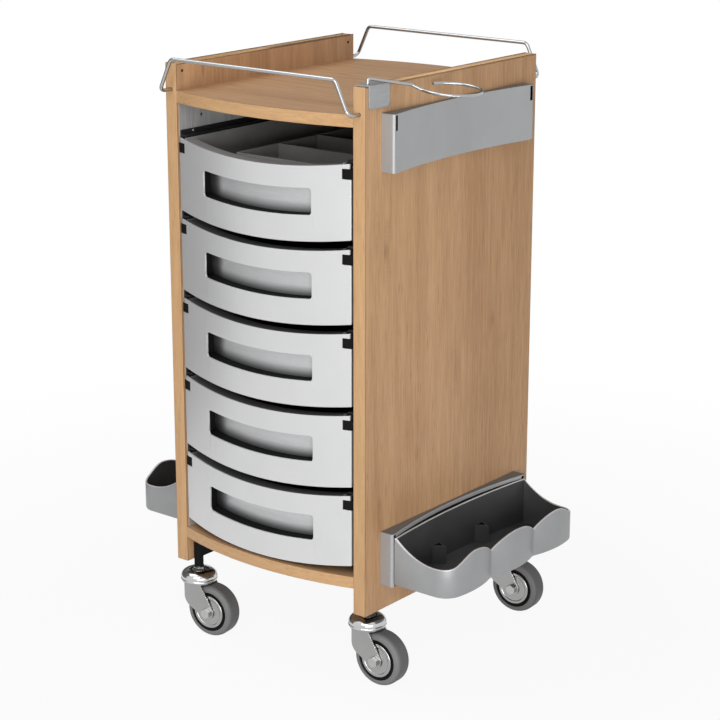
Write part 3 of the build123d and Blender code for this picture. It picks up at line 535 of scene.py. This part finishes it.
# Accessory holders: hollow casings with a hollowed face and hook slots, sprayed silver grey. Painted shade
# darkens their tops, and is painted near black inside the casings and behind the bottle trays. Screws
# driven from inside the carcass hold them.
face_centre_x = 0.97303
face_r = 0.79803
casing_wall = 0.0015
casing_low = 0.002
casing_high = 0.073
slot_out = 0.148
slot_half = 0.0025
slot_depth = 0.0003
slot_low = 0.0535
slot_high = 0.0735
holder_half = 0.152
lower_holder = 0.144
upper_holder = 0.700
between_holders = 0.5


def in_casing_shade(place):
    """True inside the hollow casing and on the walls of its slots, which are painted black as shade."""
    depth = math.hypot(abs(place.x) - face_centre_x, place.y) - face_r
    up = place.z - (upper_holder if place.z > between_holders else lower_holder)
    within = depth > casing_wall and abs(place.y) < holder_half and casing_low < up < casing_high
    at_slot = abs(abs(place.y) - slot_out) < slot_half and slot_low < up < slot_high
    return within or (at_slot and depth > slot_depth)


holder_dark = (0.36, 0.365, 0.37)
holder_light = (0.415, 0.42, 0.425)
holder_top_painted_shade = (0.105, 0.118, 0.13)
tray_gap_painted_shade = (0.02, 0.02, 0.02)
tray_back_top = 0.2138
tray_back_half = 0.1495
holder_coat, holder_tree, holder_shader = new_finish("silver-grey casing", Metallic=0.3)
holder_skin = place_group(holder_tree, grained, Size=2200.0)
holder_where = axes(holder_tree, "Object")
holder_facing = axes(holder_tree, "Normal")
holder_tone = blend(holder_tree, holder_skin.outputs["Cloud"], holder_dark, holder_light)
# Painted shade: faces turned upward darken toward a dark grey.
holder_top_shade_share = spread(holder_tree, holder_facing[2], 0.6, 0.95, 0.0, 0.9)
holder_tone = blend(holder_tree, holder_top_shade_share, holder_tone, holder_top_painted_shade)
holder_along = reckon(holder_tree, "ABSOLUTE", holder_where[1])
holder_outward = reckon(holder_tree, "ABSOLUTE", holder_facing[0])
# Painted shade: the hollowed face behind each bottle tray is painted near black where the tray covers it.
tray_gap_shade_mask = reckon(holder_tree, "LESS_THAN", holder_where[2], tray_back_top)
for part_behind in (
    reckon(holder_tree, "LESS_THAN", holder_along, tray_back_half),
    reckon(holder_tree, "GREATER_THAN", holder_outward, square_on),
):
    tray_gap_shade_mask = reckon(holder_tree, "MULTIPLY", tray_gap_shade_mask, part_behind)
feed(holder_tree, blend(holder_tree, tray_gap_shade_mask, holder_tone, tray_gap_painted_shade), holder_shader, "Base Color")
holder_rough = spread(holder_tree, holder_skin.outputs["Grain"], 0.3, 0.7, 0.36, 0.46)
feed(holder_tree, holder_rough, holder_shader, "Roughness")
set_bump(holder_tree, holder_shader, holder_skin.outputs["Grain"], strength=0.06, distance=0.00015)
for holder in ("upper_right", "lower_right", "lower_left"):
    # Inside the casings and on their slot walls the black finish is painted shade.
    eased(f"accessory_holder_{holder}", holder_coat, pocket_black, in_casing_shade, edge=0.0008)
cover(zinc_plate, "holder_screws")

# Bottle trays: moulded troughs hooked into the lower holders' slots. The lobed outer wall has a hump over
# each lobe;
# silver-grey outside with a painted highlight on the rim, dark inside, with two hollow posts whose holes
# are painted black as shade.
# Sizes are in millimetres; a step of the wall is its inset, its lift and whether the rim bears it.
wall = 2.5
half_length = 150.0
floor_z = 146.5
back_top = 214.0
low_rim = 187.0
lobe_x = 122.75
lobe_y = 100.0
lobe_r = 160.25
groove_y = 50.0
groove_r = 12.0
end_r = 25.0
hollow_x = 1408.0
hollow_r = 1227.4
hump = 17.0
hump_power = 0.9
hump_peak = 96.0
hump_end = 148.0
fall_run = 66.0
fall_power = 2.1
back_zone = 30.0
back_edge = 1.0
hair = 0.01
wall_steps = (
    (3.0, 0.0, False), (0.9, 0.9, False), (0.0, 3.0, False),
    (0.0, -1.2, True), (0.3, -0.35, True), (1.25, 0.0, True), (2.2, -0.35, True), (wall, -1.2, True),
    (wall, wall + 2.0, False), (wall + 0.6, wall + 0.6, False), (wall + 2.0, wall, False),
)
outer_faces = 3
rim_faces = 4
inner_faces = 3
post_half = 10.5
post_reach = 18.0
post_low = 1.5
post_high = 26.8
hole_half = 5.6
hole_near = 2.0
hole_far = 11.6
hole_low = 4.0
hole_high = 27.5
hook_y = 148.0
hook_half = 1.5
hook_outline = (
    (190.7, 206.0), (182.8, 206.0), (182.8, 192.3), (185.8, 192.3), (185.8, 198.3), (190.7, 198.3),
)
back_points = 20
end_points = 16
corner_points = 12
lobe_points = 18
groove_points = 6
tray_crease = math.radians(40)


def arc(x, y, radius, start, end, count):
    """Points of an arc in plan, its start left out."""
    steps = [start + (end - start) * (i + 1) / count for i in range(count)]
    return [(x + radius * math.cos(a), y + radius * math.sin(a)) for a in steps]


def tray_plan(inset):
    """The tray's outline in plan, set in from the outside, always with the same number of points."""
    half = half_length - inset
    back = hollow_r - inset
    lean = math.asin(half / back)
    leans = [lean * (1 - i / back_points) for i in range(2 * back_points + 1)]
    points = [(hollow_x - back * math.cos(a), back * math.sin(a)) for a in leans]
    end_y = half_length - end_r
    end_x = lobe_x + math.sqrt((lobe_r - end_r) ** 2 - (end_y - lobe_y) ** 2)
    start_x = points[-1][0]
    points += [(start_x + (end_x - start_x) * (i + 1) / end_points, -half) for i in range(end_points)]
    tip = math.atan2(lobe_y - end_y, end_x - lobe_x)
    points += arc(end_x, -end_y, end_r - inset, -math.pi / 2, tip, corner_points)
    groove_x = lobe_x + math.sqrt((lobe_r + groove_r) ** 2 - groove_y**2)
    turn = math.atan2(groove_y, groove_x - lobe_x)
    points += arc(lobe_x, -lobe_y, lobe_r - inset, tip, turn, lobe_points)
    for y in (-groove_y, groove_y):
        points += arc(groove_x, y, groove_r + inset, math.pi + turn, math.pi - turn, groove_points)
        last = turn if y < 0 else -tip
        points += arc(lobe_x, y + groove_y, lobe_r - inset, -turn, last, lobe_points)
    points += arc(end_x, end_y, end_r - inset, -tip, math.pi / 2, corner_points)
    points += [(end_x + (start_x - end_x) * (i + 1) / end_points, half) for i in range(end_points - 1)]
    return points


def rim_height(x, y):
    """Height of the rim over a point of the outer outline."""
    start_x = hollow_x - math.sqrt(hollow_r**2 - half_length**2)
    at_end = abs(y) > half_length - hair
    if at_end or x < start_x + back_zone:
        if not at_end and x < start_x + back_edge:
            return back_top
        along = min(max((x - start_x) / fall_run, 0.0), 1.0)
        return low_rim + (back_top - low_rim) * (1 - along) ** fall_power
    if abs(y) < groove_y:
        return low_rim + hump * (1 - (y / groove_y) ** 2) ** hump_power
    if abs(y) < hump_peak:
        short = (hump_peak - abs(y)) / (hump_peak - groove_y)
        return low_rim + hump * (1 - short**2) ** hump_power
    share = min((abs(y) - hump_peak) / (hump_end - hump_peak), 1.0)
    return low_rim + hump * 0.5 * (1 + math.cos(math.pi * share))


def bottle_tray(name, side, *finishes):
    """One tray: shell, posts and hooks in one skin; side is 1 on the right and -1 on the left."""
    on_outside, on_inside, shaded_hole, on_rim = range(4)
    form = bmesh.new()

    def loop_of(points):
        """Corners at points given in millimetres."""
        return [form.verts.new((side * x / 1000, y / 1000, z / 1000)) for x, y, z in points]

    def wrap(low, high, finish):
        """Faces between two closed loops."""
        for i in range(len(low)):
            j = (i + 1) % len(low)
            form.faces.new((low[i], high[i], high[j], low[j])).material_index = finish

    rims = [rim_height(x, y) for x, y in tray_plan(0.0)]
    loops = []
    for inset, lift, from_rim in wall_steps:
        heights = [(rim if from_rim else floor_z) + lift for rim in rims]
        loops.append(loop_of([(x, y, z) for (x, y), z in zip(tray_plan(inset), heights)]))
    level_finishes = [on_outside] * outer_faces + [on_rim] * rim_faces + [on_inside] * inner_faces
    for low, high, finish in zip(loops, loops[1:], level_finishes):
        wrap(low, high, finish)
    form.faces.new(loops[0])
    form.faces.new(list(reversed(loops[-1]))).material_index = on_inside
    # The holes in the hollow posts take the black finish as painted shade.
    for y in (-groove_y, groove_y):
        wall_x = hollow_x - math.sqrt((hollow_r - wall / 2) ** 2 - y * y)
        near, far = wall_x + hole_near, wall_x + hole_far
        post = ((wall_x, y - post_half), (wall_x + post_reach, y), (wall_x, y + post_half))
        hole = ((near, y - hole_half), (far, y), (near, y + hole_half))
        steps = ((post, post_low), (post, post_high), (hole, hole_high), (hole, hole_low))
        rings = [loop_of([(px, py, floor_z + lift) for px, py in plan]) for plan, lift in steps]
        for low, high, finish in zip(rings, rings[1:], (on_inside, on_inside, shaded_hole)):
            wrap(low, high, finish)
        form.faces.new(rings[0]).material_index = on_inside
        form.faces.new(rings[-1]).material_index = shaded_hole
    for y in (-hook_y, hook_y):
        first = loop_of([(hx, y - hook_half, hz) for hx, hz in hook_outline])
        second = loop_of([(hx, y + hook_half, hz) for hx, hz in hook_outline])
        wrap(first, second, on_outside)
        form.faces.new(first)
        form.faces.new(second)
    bmesh.ops.recalc_face_normals(form, faces=form.faces)
    for face in form.faces:
        face.smooth = True
    piece = piece_of(form, name + "_moulding", *finishes)
    piece.data.set_sharp_from_angle(angle=tray_crease)
    stands_for(piece, name)


trough_outside = moulded_finish(
    "silver-grey trough", dark=(0.31, 0.315, 0.32), light=(0.37, 0.375, 0.38),
    rough_low=0.36, rough_high=0.46, size=2200.0, bump=0.08, metal=0.3,
)
trough_inside = moulded_finish(
    "dark trough lining", dark=(0.022, 0.022, 0.023), light=(0.036, 0.036, 0.037),
    rough_low=0.45, rough_high=0.6, size=1800.0, bump=0.1,
)
# Painted highlight: the rim is a paler copy of the trough's silver-grey.
trough_rim_highlight = moulded_finish(
    "trough rim, painted highlight", dark=(0.46, 0.465, 0.47), light=(0.60, 0.605, 0.61),
    rough_low=0.32, rough_high=0.42, size=2200.0, bump=0.08, metal=0.3,
)
for tray_name, tray_side in (("bottle_tray_right", 1), ("bottle_tray_left", -1)):
    bottle_tray(tray_name, tray_side, trough_outside, trough_inside, pocket_black, trough_rim_highlight)

# Dryer clip and ring: a bent sheet of satin steel hung over the right panel's edge, and a hoop of
# 4 mm chromed wire set in it to take a hair dryer.
satin_steel = satin_finish(
    "satin clip steel", factors=(1, 0.05, 1), dark=(0.34, 0.345, 0.35), light=(0.44, 0.445, 0.45),
    metal=0.6, rough_low=0.3, rough_high=0.42, bump=0.06,
)
eased("dryer_clip", satin_steel, edge=0.0003)
cover(bright_chrome, "dryer_ring")

# Caster rails and stems: black bars under the bottom board with a socket at each end, and the stem
# bolts with their washers and nuts.
eased("caster_rails", pocket_black, edge=0.0006)
eased("caster_stems", zinc_plate, edge=0.0003)

# Casters: forks pressed from plated sheet under domes spun from chromed sheet, zinc axle bolts with
# dished thread guards, black wheel centres and grey rubber tyres, paler on their walls.
# A dome's section is given in millimetres, as radius and height, up the outside and down the inside.
corners = ("front_left", "front_right", "rear_left", "rear_right")
tread_dark = (0.10, 0.10, 0.102)
tread_light = (0.14, 0.14, 0.142)
wall_dark = (0.17, 0.17, 0.172)
wall_light = (0.215, 0.215, 0.217)
tyre_rubber, tyre_tree, tyre_shader = new_finish("grey tyre rubber", Specular_IOR_Level=0.35)
tyre_skin = place_group(tyre_tree, grained, Size=1200.0)
tyre_cloud = tyre_skin.outputs["Cloud"]
tyre_aside = reckon(tyre_tree, "ABSOLUTE", axes(tyre_tree, "Normal")[1])
tread_tone = blend(tyre_tree, tyre_cloud, tread_dark, tread_light)
wall_tone = blend(tyre_tree, tyre_cloud, wall_dark, wall_light)
tyre_tone = blend(tyre_tree, spread(tyre_tree, tyre_aside, 0.35, 0.8), tread_tone, wall_tone)
feed(tyre_tree, tyre_tone, tyre_shader, "Base Color")
feed(tyre_tree, spread(tyre_tree, tyre_cloud, 0.3, 0.7, 0.5, 0.65), tyre_shader, "Roughness")
set_bump(tyre_tree, tyre_shader, tyre_skin.outputs["Grain"], strength=0.15, distance=0.00015)
fork_plate = moulded_finish(
    "plated fork steel", dark=(0.33, 0.33, 0.328), light=(0.39, 0.39, 0.388),
    rough_low=0.22, rough_high=0.3, size=2600.0, bump=0.01, metal=0.95,
)
bolt_zinc = moulded_finish(
    "bright bolt zinc", dark=(0.42, 0.42, 0.416), light=(0.54, 0.54, 0.535),
    rough_low=0.2, rough_high=0.3, size=2600.0, bump=0.02, metal=0.95,
)
dome_chrome = moulded_finish(
    "spun dome chrome", dark=(0.52, 0.525, 0.53), light=(0.62, 0.62, 0.62),
    rough_low=0.1, rough_high=0.18, size=2600.0, bump=0.005, metal=1.0,
)
dome_section = (
    (25.0, 0.0), (25.9, 0.3), (26.2, 1.2), (25.9, 2.1), (25.4, 2.6), (25.8, 4.2), (25.6, 6.4),
    (24.6, 8.8), (22.9, 10.9), (20.4, 12.6), (17.4, 13.6), (14.0, 14.0),
    (13.6, 13.3), (14.0, 12.6), (17.2, 12.2), (20.0, 11.1), (22.3, 9.2), (23.8, 6.6), (24.2, 3.6),
    (24.0, 0.0),
)
dome_steps = 96
dome_crease = math.radians(50)
bolt_out = 0.0183


def spun_dome(node, made):
    """One dome, turned from its section."""
    low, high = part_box(node)
    middle_x, middle_y = (low.x + high.x) / 2, (low.y + high.y) / 2
    form = bmesh.new()
    loops = []
    for step in range(dome_steps):
        turn = math.tau * step / dome_steps
        across, along = math.cos(turn) / 1000, math.sin(turn) / 1000
        section = [(middle_x + r * across, middle_y + r * along, low.z + h / 1000) for r, h in dome_section]
        loops.append([form.verts.new(point) for point in section])
    for first, second in zip(loops, loops[1:] + loops[:1]):
        for i in range(len(first)):
            form.faces.new((first[i - 1], first[i], second[i], second[i - 1])).smooth = True
    bmesh.ops.recalc_face_normals(form, faces=form.faces)
    piece = piece_of(form, node + "_spun", made)
    piece.data.set_sharp_from_angle(angle=dome_crease)
    stands_for(piece, node)


for corner in corners:
    eased(f"caster_fork_{corner}", fork_plate, edge=0.0004, flat=0.5)
    spun_dome(f"caster_dome_{corner}", dome_chrome)
    tyre_low, tyre_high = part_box(f"wheel_tyre_{corner}")
    wheel_y = (tyre_low.y + tyre_high.y) / 2
    eased(
        f"caster_axle_{corner}", fork_plate, bolt_zinc,
        lambda place: abs(place.y - wheel_y) > bolt_out, edge=0.0004,
    )
    eased(f"wheel_rim_{corner}", pocket_black, edge=0.0004)
    cover(tyre_rubber, f"wheel_tyre_{corner}")


# Studio: a pale floor that whitens away from the trolley, a white surround, softboxes in front,
# low at the side and overhead, two dark cards for the metal to mirror, and the camera.
def seen(tree):
    """1 where the camera sees something straight, in a mirror or through glass, and 0 elsewhere."""
    path = put(tree, "LightPath")
    shown = reckon(tree, "MAXIMUM", path.outputs["Is Camera Ray"], path.outputs["Is Glossy Ray"])
    return reckon(tree, "MAXIMUM", shown, path.outputs["Is Transmission Ray"])


pale_floor, floor_tree, floor_shader = new_finish(
    "pale floor", Base_Color=(0.55, 0.55, 0.55, 1), Roughness=0.9, Specular_IOR_Level=0.1
)
floor_reach = put(floor_tree, "VectorMath", {"operation": "LENGTH"})
feed(floor_tree, put(floor_tree, "TexCoord").outputs["Object"], floor_reach, 0)
whitening = spread(floor_tree, floor_reach.outputs["Value"], 0.45, 1.3, 0.93, 1.0)
floor_glow = put(floor_tree, "Emission", Color=(1, 1, 1, 1), Strength=1.0)
floor_mix = put(floor_tree, "MixShader")
floor_end = next(n for n in floor_tree.nodes if n.type == "OUTPUT_MATERIAL")
feed(floor_tree, reckon(floor_tree, "MULTIPLY", seen(floor_tree), whitening), floor_mix, 0)
feed(floor_tree, floor_shader.outputs["BSDF"], floor_mix, 1)
feed(floor_tree, floor_glow.outputs["Emission"], floor_mix, 2)
feed(floor_tree, floor_mix.outputs["Shader"], floor_end, "Surface")
floor_form = bmesh.new()
bmesh.ops.create_grid(floor_form, x_segments=8, y_segments=8, size=5.0)
piece_of(floor_form, "studio_floor", pale_floor)

surround = bpy.data.worlds.new("white surround")
bpy.context.scene.world = surround
surround.use_nodes = True
sky_tree = surround.node_tree
sky_tree.nodes.clear()
soft_fill = put(sky_tree, "Background", Color=(1, 1, 1, 1), Strength=0.28)
plain_white = put(sky_tree, "Background", Color=(1, 1, 1, 1), Strength=1.0)
sky_mix = put(sky_tree, "MixShader")
feed(sky_tree, seen(sky_tree), sky_mix, 0)
feed(sky_tree, soft_fill.outputs["Background"], sky_mix, 1)
feed(sky_tree, plain_white.outputs["Background"], sky_mix, 2)
feed(sky_tree, sky_mix.outputs["Shader"], put(sky_tree, "OutputWorld"), "Surface")


def soft_lamp(name, at, aim, size, power):
    """Square softbox at a point, turned to another."""
    lamp = bpy.data.lights.new(name, "AREA")
    lamp.shape = "SQUARE"
    lamp.size = size
    lamp.energy = power
    made = bpy.data.objects.new(name, lamp)
    made.location = at
    away = made.location - type(made.location)(aim)
    made.rotation_euler = away.to_track_quat("Z", "Y").to_euler()
    bpy.context.scene.collection.objects.link(made)


soft_lamp("front_softbox", at=(0.9, -2.6, 2.5), aim=(0, 0, 0.45), size=2.0, power=42.0)
soft_lamp("low_softbox", at=(2.0, -2.5, 0.6), aim=(0, 0, 0.5), size=1.2, power=30.0)
soft_lamp("side_softbox", at=(2.6, -1.6, 0.55), aim=(0, 0, 0.45), size=1.0, power=18.0)
soft_lamp("overhead_softbox", at=(-1.0, -0.6, 2.6), aim=(0, 0, 0.7), size=1.4, power=14.5)

card_grey, *_ = new_finish(
    "dark card", Base_Color=(0.22, 0.22, 0.22, 1), Roughness=0.9, Specular_IOR_Level=0.1
)


def dark_card(name, *outline):
    """Dark card beside the trolley, seen only in its mirror images."""
    form = bmesh.new()
    form.faces.new([form.verts.new(point) for point in outline])
    made = piece_of(form, name, card_grey)
    for kind in ("camera", "diffuse", "transmission", "shadow"):
        setattr(made, "visible_" + kind, False)


dark_card("left_card", (-1, -1, 0), (-1, 0.8, 0), (-1, 0.8, 1.3), (-1, -1, 1.3))
dark_card("rear_card", (-2.2, 1.6, 0.9), (0, 1.6, 0.9), (0, 1.6, 2), (-2.2, 1.6, 2))

look_down = 16.47
look_round = 38.659
eye = bpy.data.cameras.new("studio_camera")
eye.sensor_width = 36.0
eye.lens = 105.17
studio_camera = bpy.data.objects.new("studio_camera", eye)
studio_camera.location = (1.7679, -2.1955, 1.2216)
studio_camera.rotation_euler = (math.radians(90 - look_down), 0, math.radians(look_round))
bpy.context.scene.collection.objects.link(studio_camera)
bpy.context.scene.camera = studio_camera
bpy.context.scene.view_settings.view_transform = "Standard"
